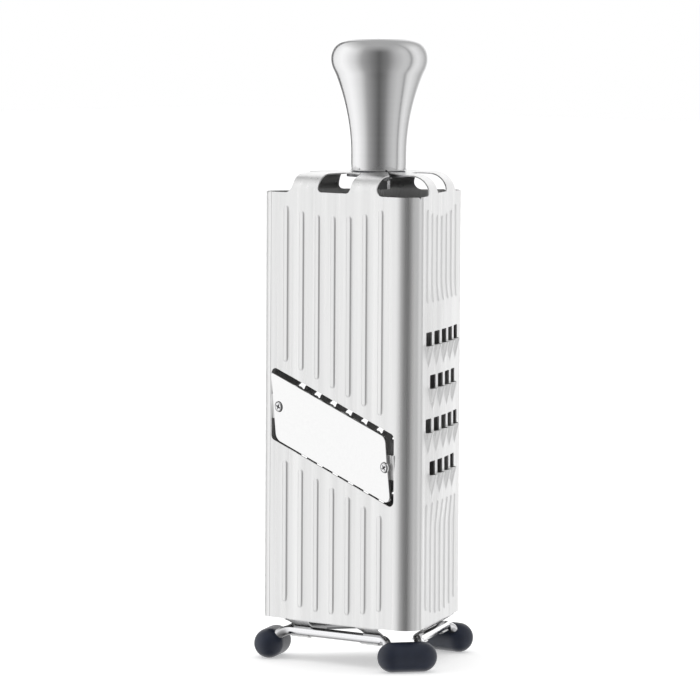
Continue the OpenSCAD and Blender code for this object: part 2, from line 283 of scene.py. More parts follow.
def colour_ramp(tree, source, dark, light):
    r = node(tree, "ShaderNodeValToRGB")
    r.color_ramp.elements[0].position = 0.3
    r.color_ramp.elements[0].color = (*dark, 1)
    r.color_ramp.elements[1].position = 0.7
    r.color_ramp.elements[1].color = (*light, 1)
    tree.links.new(source, r.inputs["Fac"])
    return r.outputs["Color"]


def mix_colour(tree, factor, first, second, blend="MIX"):
    """Blend of two colours: the factor and the second one are each a socket or a plain number."""
    mix = node(tree, "ShaderNodeMix", data_type="RGBA", blend_type=blend)
    colours = [i for i in mix.inputs if i.type == "RGBA"]
    tree.links.new(first, colours[0])
    if isinstance(factor, float):
        mix.inputs["Factor"].default_value = factor
    else:
        tree.links.new(factor, mix.inputs["Factor"])
    if isinstance(second, float):
        colours[1].default_value = (second, second, second, 1)
    else:
        tree.links.new(second, colours[1])
    return [o for o in mix.outputs if o.type == "RGBA"][0]


def bump(tree, height, strength, distance, bsdf):
    b = node(tree, "ShaderNodeBump")
    b.inputs["Strength"].default_value = strength
    b.inputs["Distance"].default_value = distance
    tree.links.new(height, b.inputs["Height"])
    tree.links.new(b.outputs["Normal"], bsdf.inputs["Normal"])


def brushed_sheet(name, metallic):
    """Sheet brushed up and down, darkened by painted shade where the mesh's "inside" attribute marks the
    hidden side.
    """
    mat, tree, bsdf = new_material(name)
    bsdf.inputs["Metallic"].default_value = metallic
    fine = noise(tree, 900, (1, 1, 0.006), 3.0, 0.7)
    broad = noise(tree, 140, (1, 1, 0.008), 3.0, 0.6)
    colour = colour_ramp(tree, broad, (0.71, 0.71, 0.71), (0.79, 0.79, 0.788))
    inside = node(tree, "ShaderNodeAttribute", attribute_name="inside")
    # Painted shade: the hidden side's colour is multiplied down by the "inside" attribute.
    painted_shade = mix_colour(tree, inside.outputs["Fac"], colour, 0.55, "MULTIPLY")
    tree.links.new(painted_shade, bsdf.inputs["Base Color"])
    tree.links.new(ramp(tree, fine, 0.24, 0.42), bsdf.inputs["Roughness"])
    bump(tree, fine, 0.12, 0.00002, bsdf)
    return mat


def plain_metal(name, colour, rough, turned=False):
    """Metal with a fine grain, drawn out round the vertical axis where it is turned."""
    mat, tree, bsdf = new_material(name)
    bsdf.inputs["Metallic"].default_value = 1.0
    stretch = (0.03, 0.03, 1) if turned else (1, 1, 1)
    grain = noise(tree, 700, stretch, 3.0, 0.6)
    low = tuple(c * 0.97 for c in colour)
    tree.links.new(colour_ramp(tree, grain, low, colour), bsdf.inputs["Base Color"])
    tree.links.new(ramp(tree, grain, rough * 0.85, rough * 1.15), bsdf.inputs["Roughness"])
    bump(tree, grain, 0.02, 0.00001, bsdf)
    return mat


def shade_underside(mat, amount):
    """Multiply a metal's colour down to the given amount where its surface looks down."""
    tree = mat.node_tree
    colour = tree.nodes["Principled BSDF"].inputs["Base Color"]
    surface = node(tree, "ShaderNodeNewGeometry")
    xyz = node(tree, "ShaderNodeSeparateXYZ")
    tree.links.new(surface.outputs["Normal"], xyz.inputs["Vector"])
    shade = ramp(tree, xyz.outputs["Z"], amount, 1.0, -0.8, -0.1)
    shaded = mix_colour(tree, 1.0, colour.links[0].from_socket, shade, "MULTIPLY")
    tree.links.new(shaded, colour)


def foot_rubber():
    mat, tree, bsdf = new_material("foot_rubber")
    cloud = noise(tree, 120, (1, 1, 1), 2.0, 0.5)
    grain = noise(tree, 2400, (1, 1, 1), 3.0, 0.7)
    tree.links.new(colour_ramp(tree, cloud, (0.010, 0.015, 0.032), (0.017, 0.024, 0.047)),
                   bsdf.inputs["Base Color"])
    tree.links.new(ramp(tree, grain, 0.38, 0.52), bsdf.inputs["Roughness"])
    bump(tree, grain, 0.15, 0.00003, bsdf)
    return mat


SHEET_MAT = brushed_sheet("brushed_sheet", 0.94)
# A copy of the same sheet, less metallic so it shows paler: painted light that brightens the coarse face.
COARSE_MAT = brushed_sheet("brushed_sheet_painted_light", 0.82)
shade_underside(SHEET_MAT, 0.7)
shade_underside(COARSE_MAT, 0.7)
BLADE_MAT = plain_metal("polished_blade", (0.80, 0.80, 0.80), 0.10)
SCREW_MAT = plain_metal("screw_steel", (0.78, 0.78, 0.79), 0.22)
# Near-black painted shade for the screws' cross recesses and the gap round their heads.
RECESS_SHADE_MAT = plain_metal("screw_recess_painted_shade", (0.03, 0.03, 0.03), 0.4)
FIXING_MAT = plain_metal("fixing_steel", (0.30, 0.30, 0.31), 0.35)
KNOB_MAT = plain_metal("satin_knob", (0.76, 0.76, 0.765), 0.15, turned=True)
WIRE_MAT = plain_metal("polished_wire", (0.80, 0.80, 0.815), 0.16)
shade_underside(WIRE_MAT, 0.25)
RUBBER_MAT = foot_rubber()
SEAL_MAT = foot_rubber()
SEAL_MAT.name = "seal_rubber"


# ---------------------------------------------------------------- sheet panels

# Each tab slopes inward below the wall, passes over the wire and hooks behind and under it.
HOOK_R = WIRE_R + 0.03
HOOK_START = math.radians(55)
HOOK_TURN = math.radians(190)
NECK_TOP = Vector((-REACH, TAB_TOP))
NECK_LOW = Vector((WIRE_Y + HOOK_R * math.cos(HOOK_START), WIRE_Z + HOOK_R * math.sin(HOOK_START)))
NECK_LEN = (NECK_LOW - NECK_TOP).length
TAB_LEN = NECK_LEN + HOOK_R * HOOK_TURN


def tab_profile(d):
    """Side position (y, z) of the sheet's outside, d mm of sheet below the tab's top."""
    if d < NECK_LEN:
        return NECK_TOP.lerp(NECK_LOW, d / NECK_LEN)
    a = HOOK_START - (d - NECK_LEN) / HOOK_R
    return Vector((WIRE_Y + HOOK_R * math.cos(a), WIRE_Z + HOOK_R * math.sin(a)))


def side(v):
    """Side position (y, z) and outward normal of the flat pattern's height v."""
    if v > FOLD_Z:
        a = min((v - FOLD_Z) / FOLD_R, FOLD_ANGLE)
        extra = max(0.0, v - FOLD_END)
        y = -REACH + FOLD_R * (1 - math.cos(a)) + extra * math.sin(a)
        z = FOLD_Z + FOLD_R * math.sin(a) + extra * math.cos(a)
        return Vector((y, z)), Vector((-math.cos(a), math.sin(a)))
    if v < TAB_TOP:
        p = tab_profile(TAB_TOP - v)
        q = tab_profile(TAB_TOP - v + 0.02)
        along = (q - p).normalized()
        return p, Vector((along.y, -along.x))
    return Vector((-REACH, v)), Vector((-1, 0))


def sheet_base(s, v):
    """Outside surface and its normal at pattern position (s along the face, v up)."""
    if s <= ARC_X:
        p, n = side(v)
        return Vector((s, p.x, p.y)), Vector((0, n.x, n.y))
    a = min((s - ARC_X) / BEND_R, LIP_ANGLE)
    n = Vector((math.sin(a), -math.cos(a), 0))
    along = Vector((math.cos(a), math.sin(a), 0))
    return Vector((ARC_X, ARC_Y, v)) + BEND_R * n + along * (s - ARC_X - BEND_R * a), n


def rib_profile(d):
    """Height of a rib d mm from its centre line: a flat top and two rounded flanks."""
    t = min(max((d - RIB_TOP) / (RIB_HALF - RIB_TOP), 0.0), 1.0)
    return RIB_H * (0.5 + 0.5 * math.cos(math.pi * t))


def rib_height(ribs, s, v):
    for x, low, high in ribs:
        if abs(s - x) < RIB_HALF and low < v < high:
            end = min(max(v, low + RIB_HALF), high - RIB_HALF)
            return rib_profile(math.hypot(s - x, v - end))
    return 0.0


def dish(s, v, low, high):
    """The sheet between neighbouring ribs is drawn in a little, fading out above and below the ribs."""
    if abs(s) > 3 * RIB_PITCH:
        return 0.0
    fade = min(max((v - low) / DISH_FADE, 0.0), 1.0) * min(max((high - v) / DISH_FADE, 0.0), 1.0)
    return -DISH * fade * (0.5 - 0.5 * math.cos(2 * math.pi * s / RIB_PITCH))


def face_points():
    """A grid over the flat face, finer across each rib."""
    columns = [-ARC_X + 1.2, -37.5, -35, ARC_X, ARC_X - 1.2, 37.5, 35]
    for i in RIBS:
        for d in (0.0, 0.5, 0.75, 1.0, 1.2, 1.4, 1.6, 1.78, 1.9):
            columns += [i * RIB_PITCH - d, i * RIB_PITCH + d]
        columns += [(i + share) * RIB_PITCH for share in (0.27, 0.35, 0.43, 0.5, 0.57, 0.65, 0.73)]
    rows = 96
    heights = [WALL_LOW + 0.5 + (WALL_TOP - WALL_LOW - 1) * r / rows for r in range(rows + 1)]
    return [(x, z) for x in columns for z in heights]


def rib_end_points(ribs):
    """Half rings round both ends of each rib."""
    points = []
    for x, low, high in ribs:
        a = low + RIB_HALF
        b = high - RIB_HALF
        for ring in (0.25, 0.5, 0.75, 1.0):
            for k in range(1, 12):
                t = math.pi * k / 12
                points.append((x + RIB_HALF * ring * math.cos(t), b + RIB_HALF * ring * math.sin(t)))
                points.append((x + RIB_HALF * ring * math.cos(t), a - RIB_HALF * ring * math.sin(t)))
    return points


def flat_outline():
    """The outside of one panel's flat pattern, anticlockwise from the lower left."""
    right = ARC_X + BEND_LEN
    hub_v = FOLD_END + (REACH - FOLD_R)
    tab_end = TAB_TOP - TAB_LEN
    tab = [(-HOOK_OUT - 4.4, WALL_LOW), (-HOOK_OUT - 2.6, WALL_LOW - 0.3),
           (-HOOK_OUT - 1.2, WALL_LOW - 1.3), (-HOOK_OUT - 0.3, WALL_LOW - 2.4),
           (-HOOK_OUT, WALL_LOW - 3.6), (-HOOK_OUT, tab_end),
           (-HOOK_IN, tab_end), (-HOOK_IN, WALL_LOW - 3.6), (-TAB_IN, TAB_TOP)]
    pts = [(-ARC_X + SEAM, WALL_LOW)]
    pts += tab
    pts += [(-x, v) for x, v in reversed(tab)]
    pts += [(right - 0.05, WALL_LOW), (right - 0.05, WALL_TOP), (right - 2.2, WALL_TOP),
            (right - 3.2, WALL_TOP - 1.1), (right - 4.4, WALL_TOP)]
    hub = [(STRAP_X, FOLD_END + 1), (HUB_R * math.sin(math.radians(60)), hub_v - HUB_R * 0.5)]
    shoulder = []
    for k in range(9):
        t = math.radians(90 * k / 8)
        shoulder.append((SHOULDER_X - SHOULDER_R * math.sin(t), WALL_TOP + SHOULDER_R * (1 - math.cos(t))))
    pts += shoulder
    pts += hub
    for k in range(9):
        t = math.radians(60 - 15 * k)
        pts.append((BORE_R * math.sin(t), hub_v - BORE_R * math.cos(t)))
    pts += [(-x, v) for x, v in reversed(hub)]
    pts += [(-x, v) for x, v in reversed(shoulder)]
    pts.append((-ARC_X + SEAM, WALL_TOP))
    return pts


def densify(loop, step):
    """The loop with points added, so that no stretch is much longer than the step."""
    out = []
    for i, p in enumerate(loop):
        q = loop[(i + 1) % len(loop)]
        n = max(1, int(math.hypot(q[0] - p[0], q[1] - p[1]) / step))
        out += [(p[0] + (q[0] - p[0]) * k / n, p[1] + (q[1] - p[1]) * k / n) for k in range(n)]
    return out


def crown_slot_loop():
    """The slot between a face's two straps, from just above the wall to the hub."""
    low = FOLD_Z + 0.2
    turn = FOLD_END - 2
    end = FOLD_END + 5.5
    w = SLOT_X
    return rounded([(-w, low), (w, low), (w, turn), (5.2, end), (-5.2, end), (-w, turn)],
                   [2.5, 2.5, 6, 3.5, 3.5, 6])


def window_loop():
    x, h = WINDOW_X, WINDOW_H / 2
    return rounded([(-x, slope_z(-x) - h), (x, slope_z(x) - h), (x, slope_z(x) + h), (-x, slope_z(-x) + h)],
                   [2.6] * 4)


def grid(x0, x1, nx, z0, z1, nz):
    return [(x0 + (x1 - x0) * i / nx, z0 + (z1 - z0) * k / nz) for i in range(nx + 1) for k in range(nz + 1)]


def common_points():
    """Inner points that every panel needs: bend, face, fold, straps and the two wire tabs."""
    pts = grid(ARC_X, ARC_X + BEND_LEN - 0.4, 22, WALL_LOW + 0.8, WALL_TOP - 1.6, 40)
    pts += face_points()
    pts += grid(-STRAP_X + 0.5, STRAP_X - 0.5, 26, FOLD_Z, FOLD_END, 14)
    pts += grid(-SHOULDER_X, SHOULDER_X, 26, WALL_TOP, FOLD_Z, 1)
    pts += grid(-24, 24, 24, FOLD_END + 1, FOLD_END + 18, 8)
    crease = TAB_TOP - NECK_LEN
    for s in (-1, 1):
        low, high = s * (HOOK_IN + 0.6), s * (HOOK_OUT - 0.6)
        pts += grid(low, high, 8, crease + 0.08, TAB_TOP, 8)
        pts += grid(low, high, 8, TAB_TOP - TAB_LEN + 0.2, crease - 0.08, 44)
    return pts


def near_edge(point, loop_points, cell, reach):
    """Whether a point is closer than the reach to a point of a loop, which are sorted into square cells."""
    cx, cy = int(point[0] // cell), int(point[1] // cell)
    for i in (cx - 1, cx, cx + 1):
        for k in (cy - 1, cy, cy + 1):
            for q in loop_points.get((i, k), ()):
                if math.hypot(point[0] - q[0], point[1] - q[1]) < reach:
                    return True
    return False


def cut_sheet(outline, holes, points):
    """Triangles of the flat pattern inside the outline and outside the holes."""
    outline = densify(outline, 1.2)
    verts = []
    edges = []
    near = {}
    cell = 0.5
    for loop in [outline] + [densify(h, 1.0) for h in holes]:
        start = len(verts)
        verts += [Vector(p) for p in loop]
        if start:
            edges += [(start + k, start + (k + 1) % len(loop)) for k in range(len(loop))]
        for p in loop:
            near.setdefault((int(p[0] // cell), int(p[1] // cell)), []).append(p)
    seen = set()
    for p in points:
        key = (round(p[0] * 5), round(p[1] * 5))
        if key in seen or near_edge(p, near, cell, 0.22):
            continue
        seen.add(key)
        verts.append(Vector(p))
    flat, _, tris, *_ = delaunay_2d_cdt(verts, edges, [list(range(len(outline)))], 2, 1e-5)
    return flat, tris


def inside_painted_shade(v):
    """How much painted shade darkens the sheet's hidden side at pattern height v: it stays bright at the tabs
    and near the upper edge.
    """
    if v < TAB_TOP:
        return 0.0
    if v < WALL_TOP:
        return min(max((WALL_TOP - v) / 9, 0.1), 1.0)
    return min(0.1 + (v - WALL_TOP) / 6, 0.9)


def build_panel(name, face, holes, points, lift, replaced, material):
    """One pressed panel: flat pattern cut, ribs and cutters pressed out, bent, then given its thickness."""
    flat, tris = cut_sheet(flat_outline(), holes, common_points() + points)

    def surface(s, v):
        p, n = sheet_base(s, v)
        return p + n * lift(s, v)

    outer = []
    normals = []
    h = 0.02
    for q in flat:
        p = surface(q.x, q.y)
        du = surface(q.x + h, q.y) - surface(q.x - h, q.y)
        dv = surface(q.x, q.y + h) - surface(q.x, q.y - h)
        outer.append(p)
        normals.append(du.cross(dv).normalized())
    used = sorted({i for t in tris for i in t})
    index = {i: k for k, i in enumerate(used)}
    n = len(used)
    verts = [to_row(outer[i], face) for i in used]
    verts += [to_row(outer[i] - normals[i] * SHEET, face) for i in used]
    turn = Matrix.Rotation(math.radians(120 * face), 3, "Z")
    vertex_normals = [turn @ normals[i] for i in used]
    faces = []
    loop_normals = []
    border = {}
    for t in tris:
        a, b, c = (index[i] for i in t)
        faces.append((a, b, c))
        loop_normals += [vertex_normals[a], vertex_normals[b], vertex_normals[c]]
        faces.append((n + c, n + b, n + a))
        loop_normals += [-vertex_normals[c], -vertex_normals[b], -vertex_normals[a]]
        for e in ((a, b), (b, c), (c, a)):
            if (e[1], e[0]) in border:
                del border[(e[1], e[0])]
            else:
                border[e] = True
    # The hidden side carries painted shade, stored in the "inside" attribute; the outside and the rims carry
    # none.
    painted_shade = [0.0] * n + [inside_painted_shade(flat[i].y) for i in used]
    for a, b in border:
        start = len(verts)
        verts += [verts[b], verts[a], verts[n + a], verts[n + b]]
        painted_shade += [0.0] * 4
        faces.append((start, start + 1, start + 2, start + 3))
        out = (verts[b] - verts[a]).cross(verts[a] - verts[n + a]).normalized()
        loop_normals += [out] * 4
    mesh = bpy.data.meshes.new(name)
    mesh.from_pydata([tuple(v) for v in verts], [], faces)
    mesh.update()
    mesh.polygons.foreach_set("use_smooth", [True] * len(mesh.polygons))
    mesh.normals_split_custom_set([tuple(v) for v in loop_normals])
    mark = mesh.attributes.new("inside", "FLOAT", "POINT")
    mark.data.foreach_set("value", painted_shade)
    obj = bpy.data.objects.new(name, mesh)
    bpy.context.scene.collection.objects.link(obj)
    mesh.materials.append(material)
    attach(obj, BODY)
    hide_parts(replaced)


def ribs_round(gap):
    """Ribs (x, low end, high end) above and below a gap; gap(x) is the gap's lower and upper end there."""
    ribs = []
    for i in RIBS:
        x = i * RIB_PITCH
        low, high = gap(x)
        ribs.append((x, high, rib_top(i)))
        ribs.append((x, rib_foot(i), low))
    return ribs


def slicer_sheet():
    ribs = ribs_round(lambda x: (slope_z(x) - WINDOW_H / 2 - 6.2, slope_z(x) + WINDOW_H / 2 + 5.2))
    build_panel("slicer_sheet", 0, [crown_slot_loop(), window_loop()], rib_end_points(ribs),
                lambda s, v: rib_height(ribs, s, v) + dish(s, v, WALL_LOW, WALL_TOP - 6),
                "slicer_panel", SHEET_MAT)


def tooth_places():
    """Middle of each tooth's cutting edge: rows of five and four by turns."""
    for k, z in enumerate(TOOTH_ROWS):
        count = 5 - k % 2
        for i in range(count):
            yield (i - (count - 1) / 2) * TOOTH_PITCH, z


def tooth_lift(s, v):
    """A leaning barrel: its rim stands proud at the opening and sinks into the sheet below it."""
    r = (TOOTH_HALF ** 2 + TOOTH_H ** 2) / (2 * TOOTH_H)
    for x, z in tooth_places():
        if abs(s - x) < TOOTH_HALF + 0.3 and z - TOOTH_LEN - 1 < v < z + 0.5:
            across = min(abs(s - x), r)
            rise = math.sqrt(r * r - across * across) - (r - TOOTH_H)
            h = rise - TOOTH_H * max(z - v, 0) / TOOTH_LEN
            return 0.5 * (h + math.sqrt(h * h + 0.012)) * min(1.0, (z - v + TOOTH_LEN) / 2 + 1)
    return 0.0


def bow(s, v):
    """The coarse cutting field is pressed out a little in its middle."""
    if abs(s) > BOW_X:
        return 0.0
    fade = min(max((v - BOW_LOW) / BOW_FADE, 0.0), 1.0) * min(max((BOW_HIGH - v) / BOW_FADE, 0.0), 1.0)
    fade = fade * fade * (3 - 2 * fade)
    return BOW * fade * (1 - (s / BOW_X) ** 2) ** 1.3


def coarse_sheet():
    ribs = ribs_round(lambda x: COARSE_FIELD)
    holes = [crown_slot_loop()]
    points = rib_end_points(ribs)
    w = TOOTH_HALF
    for x, z in tooth_places():
        holes.append(rounded([(x - w, z), (x + w, z), (x + w, z + TOOTH_OPEN), (x - w, z + TOOTH_OPEN)],
                             [0.15, 0.15, 0.7, 0.7], 4))
        points += grid(x - w - 0.25, x + w + 0.25, 28, z - TOOTH_LEN - 0.8, z - 0.3, 22)
    build_panel("coarse_sheet", 1, holes, points,
                lambda s, v: rib_height(ribs, s, v) + tooth_lift(s, v) + bow(s, v),
                "coarse_panel", COARSE_MAT)


def burr_ring(x, z, extra):
    """Points along a rasp hole's outline, or along one that is larger all round."""
    turns = [2 * math.pi * k / 24 for k in range(24)]
    reach = [(RASP_R + extra) * burr(a) for a in turns]
    return [(x + r * math.cos(a), z + r * math.sin(a)) for r, a in zip(reach, turns)]


def rasp_column(i, k):
    """Distance from the face's middle to hole i of row k: every other row is shifted by one pitch."""
    return (2 * i + k % 2 - 3.5) * RASP_PITCH


def rasp_places():
    for k in range(RASP_ROWS):
        for i in range(4):
            yield rasp_column(i, k), RASP_LOW + k * RASP_ROW


def burr(angle):
    """Outline of a punched hole, as a share of its radius: four torn points."""
    return 1 + 0.2 * math.cos(4 * angle + 0.6)


def rasp_lift(s, v):
    """Raised edge round the nearest rasp hole."""
    nearest = round((v - RASP_LOW) / RASP_ROW)
    for k in (nearest - 1, nearest, nearest + 1):
        for i in range(4):
            dx = s - rasp_column(i, k)
            dv = v - (RASP_LOW + k * RASP_ROW)
            r = math.hypot(dx, dv)
            if 0 <= k < RASP_ROWS and r < RASP_R + RASP_LIP + 0.2:
                q = (r / burr(math.atan2(dv, dx)) - RASP_R) / RASP_LIP
                if q < 1:
                    return RASP_H * (1 - max(q, 0.0)) ** 1.8
    return 0.0


def fine_sheet():
    ribs = ribs_round(lambda x: FINE_FIELD)
    holes = [crown_slot_loop()]
    points = rib_end_points(ribs)
    for x, z in rasp_places():
        holes.append(burr_ring(x, z, 0))
        for extra in (0.25, 0.5, 0.8, RASP_LIP):
            points += burr_ring(x, z, extra)
    build_panel("fine_sheet", 2, holes, points,
                lambda s, v: rib_height(ribs, s, v) + rasp_lift(s, v), "fine_panel", SHEET_MAT)


# ---------------------------------------------------------------- blade

def in_blade(x, depth, z):
    """A point of the blade: x along the face, depth behind the blade's front, z up before it is tilted."""
    run = Vector((1, 0, SLOPE)).normalized()
    tilt = Matrix.Rotation(BLADE_TILT, 3, run)
    return tilt @ Vector((x, depth, z - WINDOW_Z)) + Vector((0, -REACH - BLADE_OUT, WINDOW_Z))


def inset(loop, amount):
    """An anticlockwise loop moved inward."""
    out = []
    for i, p in enumerate(loop):
        a = Vector(loop[i - 1])
        b = Vector(loop[(i + 1) % len(loop)])
        along = (b - a).normalized()
        out.append((p[0] - along.y * amount, p[1] + along.x * amount))
    return out


def circle(x, z, r, steps=40):
    return [(x + r * math.cos(2 * math.pi * k / steps), z + r * math.sin(2 * math.pi * k / steps))
            for k in range(steps)]


def plate(name, outer, holes, layers, material, replaced):
    """A flat plate with holes; each layer is (depth, how far its edges draw back)."""
    verts = []
    faces = []
    rings = []
    for depth, back in layers:
        loops = [inset(outer, back)] + [circle(x, z, r + back) for x, z, r in holes]
        ring = []
        for loop in loops:
            ring.append(list(range(len(verts), len(verts) + len(loop))))
            verts += [to_row(in_blade(x, depth, z)) for x, z in loop]
        rings.append((ring, loops))
    for (low, _), (high, _) in zip(rings, rings[1:]):
        for number, (a, b) in enumerate(zip(low, high)):
            n = len(a)
            for k in range(n):
                j = (k + 1) % n
                quad = (a[k], b[k], b[j], a[j])
                faces.append(quad if number == 0 else quad[::-1])
    for end, flip in ((0, False), (-1, True)):
        ring, loops = rings[end]
        points = [Vector(q) for loop in loops for q in loop]
        index = [i for part in ring for i in part]
        edges = []
        start = len(loops[0])
        for loop in loops[1:]:
            edges += [(start + k, start + (k + 1) % len(loop)) for k in range(len(loop))]
            start += len(loop)
        flat, _, tris, *_ = delaunay_2d_cdt(points, edges, [list(range(len(loops[0])))], 2, 1e-6)
        where = [index[min(range(len(points)), key=lambda m: (points[m] - q).length)] for q in flat]
        for tri in tris:
            corner = [where[i] for i in tri]
            faces.append(tuple(corner[::-1]) if flip else tuple(corner))
    obj = add_piece(name, verts, faces, material, replaced)
    sharpen(obj, 25)


def blade():
    left, right = -BLADE_X, BLADE_X
    top = WINDOW_H / 2 - 2.6
    low = -WINDOW_H / 2 + 0.5
    outline = rounded([(left, slope_z(left) + low), (right, slope_z(right) + low),
                       (right - 1.6, slope_z(right - 1.6) + top), (left - 1.5, slope_z(left - 1.5) + top)],
                      [4.6, 3, 4, 1], 10)
    holes = [(s * SCREW_X, slope_z(s * SCREW_X), SCREW_HOLE_R) for s in (-1, 1)]
    layers = [(0, 0.18), (0.12, 0.02), (0.5, 0), (BLADE_T - 0.1, 0), (BLADE_T, 0.1)]
    plate("blade_plate", outline, holes, layers, BLADE_MAT, "slicing_blade")


def ear(name, s):
    """Tongue left in the window's upright edge, set back behind the blade to take the screw."""
    z = slope_z(s * SCREW_X)
    x_in, x_out = s * 30.6, s * (WINDOW_X + 0.3)
    back = BLADE_T + 0.03
    run = [(x_in, back), (s * 33.0, back), (s * 37.4, back), (s * 38.4, back * 0.85 + 0.1),
           (s * 39.2, back * 0.6), (x_out, 0.62)]
    heights = [-EAR_HALF + 2 * EAR_HALF * k / 8 for k in range(9)]
    verts = []
    for layer in (0.0, SHEET):
        for x, depth in run:
            for h in heights:
                verts.append(to_row(in_blade(x, depth + layer, z + h)))
    cols, rows = len(run), len(heights)
    half = cols * rows
    faces = []
    border = []
    for i in range(cols - 1):
        for k in range(rows - 1):
            quad = (i * rows + k, (i + 1) * rows + k, (i + 1) * rows + k + 1, i * rows + k + 1)
            faces.append(quad)
            faces.append(tuple(half + q for q in quad[::-1]))
    border += [(i * rows, (i + 1) * rows) for i in range(cols - 1)]
    border += [((cols - 1) * rows + k, (cols - 1) * rows + k + 1) for k in range(rows - 1)]
    border += [((i + 1) * rows + rows - 1, i * rows + rows - 1) for i in range(cols - 1)]
    border += [(k + 1, k) for k in range(rows - 1)]
    faces += [(a, half + a, half + b, b) for a, b in border]
    if s < 0:
        faces = [f[::-1] for f in faces]
    obj = add_piece(name, verts, faces, SHEET_MAT, "slicer_panel")
    sharpen(obj, 40)


def recess(x, z, turn):
    """Depth of a screw's cross recess, from 0 outside it to 1 in its arms."""
    u = abs(x * math.cos(turn) + z * math.sin(turn))
    w = abs(z * math.cos(turn) - x * math.sin(turn))
    return max(0.0, 1 - (min(u, w) / 0.36) ** 4) * max(0.0, 1 - (max(u, w) / 1.3) ** 6)


def screw(name, s):
    """Screw with a low raised head: a flat top with a cross recess, a sloping rim, and the shank; the recess
    and the rim are painted near black as shade.
    """
    centre = (s * SCREW_X, slope_z(s * SCREW_X))
    rings = 14
    flat_rings = 11
    steps = 72
    turn = math.radians(28 * s)
    plan = []
    verts = []
    faces = []

    def depth(x, z):
        slope = 0.95 * max(math.hypot(x, z) - SCREW_FLAT_R, 0.0)
        return -SCREW_OUT + slope + recess(x, z, turn)

    for i in range(1, rings + 1):
        r = SCREW_FLAT_R * i / flat_rings
        if i > flat_rings:
            r = SCREW_FLAT_R + (SCREW_HEAD_R - SCREW_FLAT_R) * (i - flat_rings) / (rings - flat_rings)
        for k in range(steps):
            a = 2 * math.pi * k / steps
            x, z = r * math.cos(a), r * math.sin(a)
            plan.append((x, z))
            verts.append(to_row(in_blade(centre[0] + x, depth(x, z), centre[1] + z)))
    for r, y in ((SCREW_HEAD_R, 0.4), (SCREW_R, 1.0), (SCREW_R, SCREW_END)):
        for k in range(steps):
            a = 2 * math.pi * k / steps
            verts.append(to_row(in_blade(centre[0] + r * math.cos(a), y, centre[1] + r * math.sin(a))))
    for i in range(rings + 2):
        for k in range(steps):
            j = (k + 1) % steps
            faces.append((i * steps + k, (i + 1) * steps + k, (i + 1) * steps + j, i * steps + j))
    side_faces = len(faces)
    middle = len(verts)
    verts.append(to_row(in_blade(centre[0], depth(0, 0), centre[1])))
    tip = len(verts)
    verts.append(to_row(in_blade(centre[0], SCREW_END, centre[1])))
    last = (rings + 2) * steps
    for k in range(steps):
        j = (k + 1) % steps
        faces.append((middle, k, j))
        faces.append((tip, last + j, last + k))
    obj = add_piece(name + "_head", verts, faces, SCREW_MAT, name)
    sharpen(obj, 40)
    # Painted shade: faces in the cross recess and on the head's outer rim get the near-black material.
    obj.data.materials.append(RECESS_SHADE_MAT)
    for k, face in enumerate(faces):
        in_recess = all(recess(*plan[v], turn) > 0.4 for v in face if v < len(plan))
        on_rim = k // steps >= rings - 2
        if middle in face or (k < side_faces and (in_recess or on_rim)):
            obj.data.polygons[k].material_index = 1


# ---------------------------------------------------------------- knob

def knob_profile():
    waist, head = 13.6, (knob_high.x - knob_low.x) / 2 / MM
    top = KNOB_TOP - KNOB_FOOT
    knee = (waist + 0.853 * (head - waist), 46.5)
    low = [(0, 0), (waist - 1.1, 0)]
    for k in range(1, 6):
        t = math.radians(90 * k / 5)
        low.append((waist - 1.1 + 0.9 * math.sin(t), 0.9 - 0.9 * math.cos(t)))
    low.append((waist, 3.5))
    flank = bezier((waist, 7.5), (waist, 22.5), (0.79 * waist + 0.28 * head, 36), knee, 26)
    swell = bezier(knee, (waist + 0.951 * (head - waist), 48.7), (head, 50.7), (head, 53), 10)
    crown = bezier((head, 53), (head, 57.9), (head - 3.2, top), (head - 7.8, top), 18)
    rest = [(p.x, p.y) for p in flank + swell[1:] + crown[1:]]
    rest += [((head - 7.8) * k / 4, top) for k in (3, 2, 1, 0)]
    return [(r, z + KNOB_FOOT) for r, z in low + rest]


def knob():
    verts, faces = revolve(knob_profile(), 128)
    obj = add_piece("knob_body", [to_row(v) for v in verts], faces, KNOB_MAT, "knob_shell")
    sharpen(obj, 50)


# ---------------------------------------------------------------- foot frame

FOOT_MIDDLE = Vector((FOOT_REACH * math.cos(math.radians(30)), -FOOT_REACH / 2, FOOT_Z))
FOOT_ALONG = Vector((0.5, math.cos(math.radians(30)), 0))
FOOT_IN = FOOT_MIDDLE - FOOT_HALF * FOOT_ALONG
BAR_END = Vector((HOOK_OUT, WIRE_Y, WIRE_Z))


def dip_path():
    """From the bar's end down into the foot, turning to run along the foot's own axis."""
    return bezier(BAR_END, BAR_END + Vector((7.5, 0, 0)), FOOT_IN - 3 * FOOT_ALONG + Vector((-3, 0, 2.2)),
                  FOOT_IN + 3 * FOOT_ALONG, 24)


def wire():
    dip = dip_path()
    one = [Vector((-p.x, p.y, p.z)) for p in reversed(dip)]
    one += [Vector((HOOK_OUT * (k / 4 - 1), WIRE_Y, WIRE_Z)) for k in range(1, 8)]
    one += dip
    path = []
    for k in range(3):
        turn = Matrix.Rotation(math.radians(120 * k), 3, "Z")
        path += [turn @ p for p in one]
    n = len(path)
    sides = 28
    verts = []
    faces = []
    for i in range(n):
        along = (path[(i + 1) % n] - path[i - 1]).normalized()
        across = Vector((0, 0, 1)).cross(along).normalized()
        up = along.cross(across)
        for k in range(sides):
            t = 2 * math.pi * k / sides
            verts.append(to_row(path[i] + WIRE_R * (math.cos(t) * across + math.sin(t) * up)))
    for i in range(n):
        j = (i + 1) % n
        for k in range(sides):
            m = (k + 1) % sides
            faces.append((i * sides + k, i * sides + m, j * sides + m, j * sides + k))
    add_piece("wire_loop", verts, faces, WIRE_MAT, "foot_wire_frame")


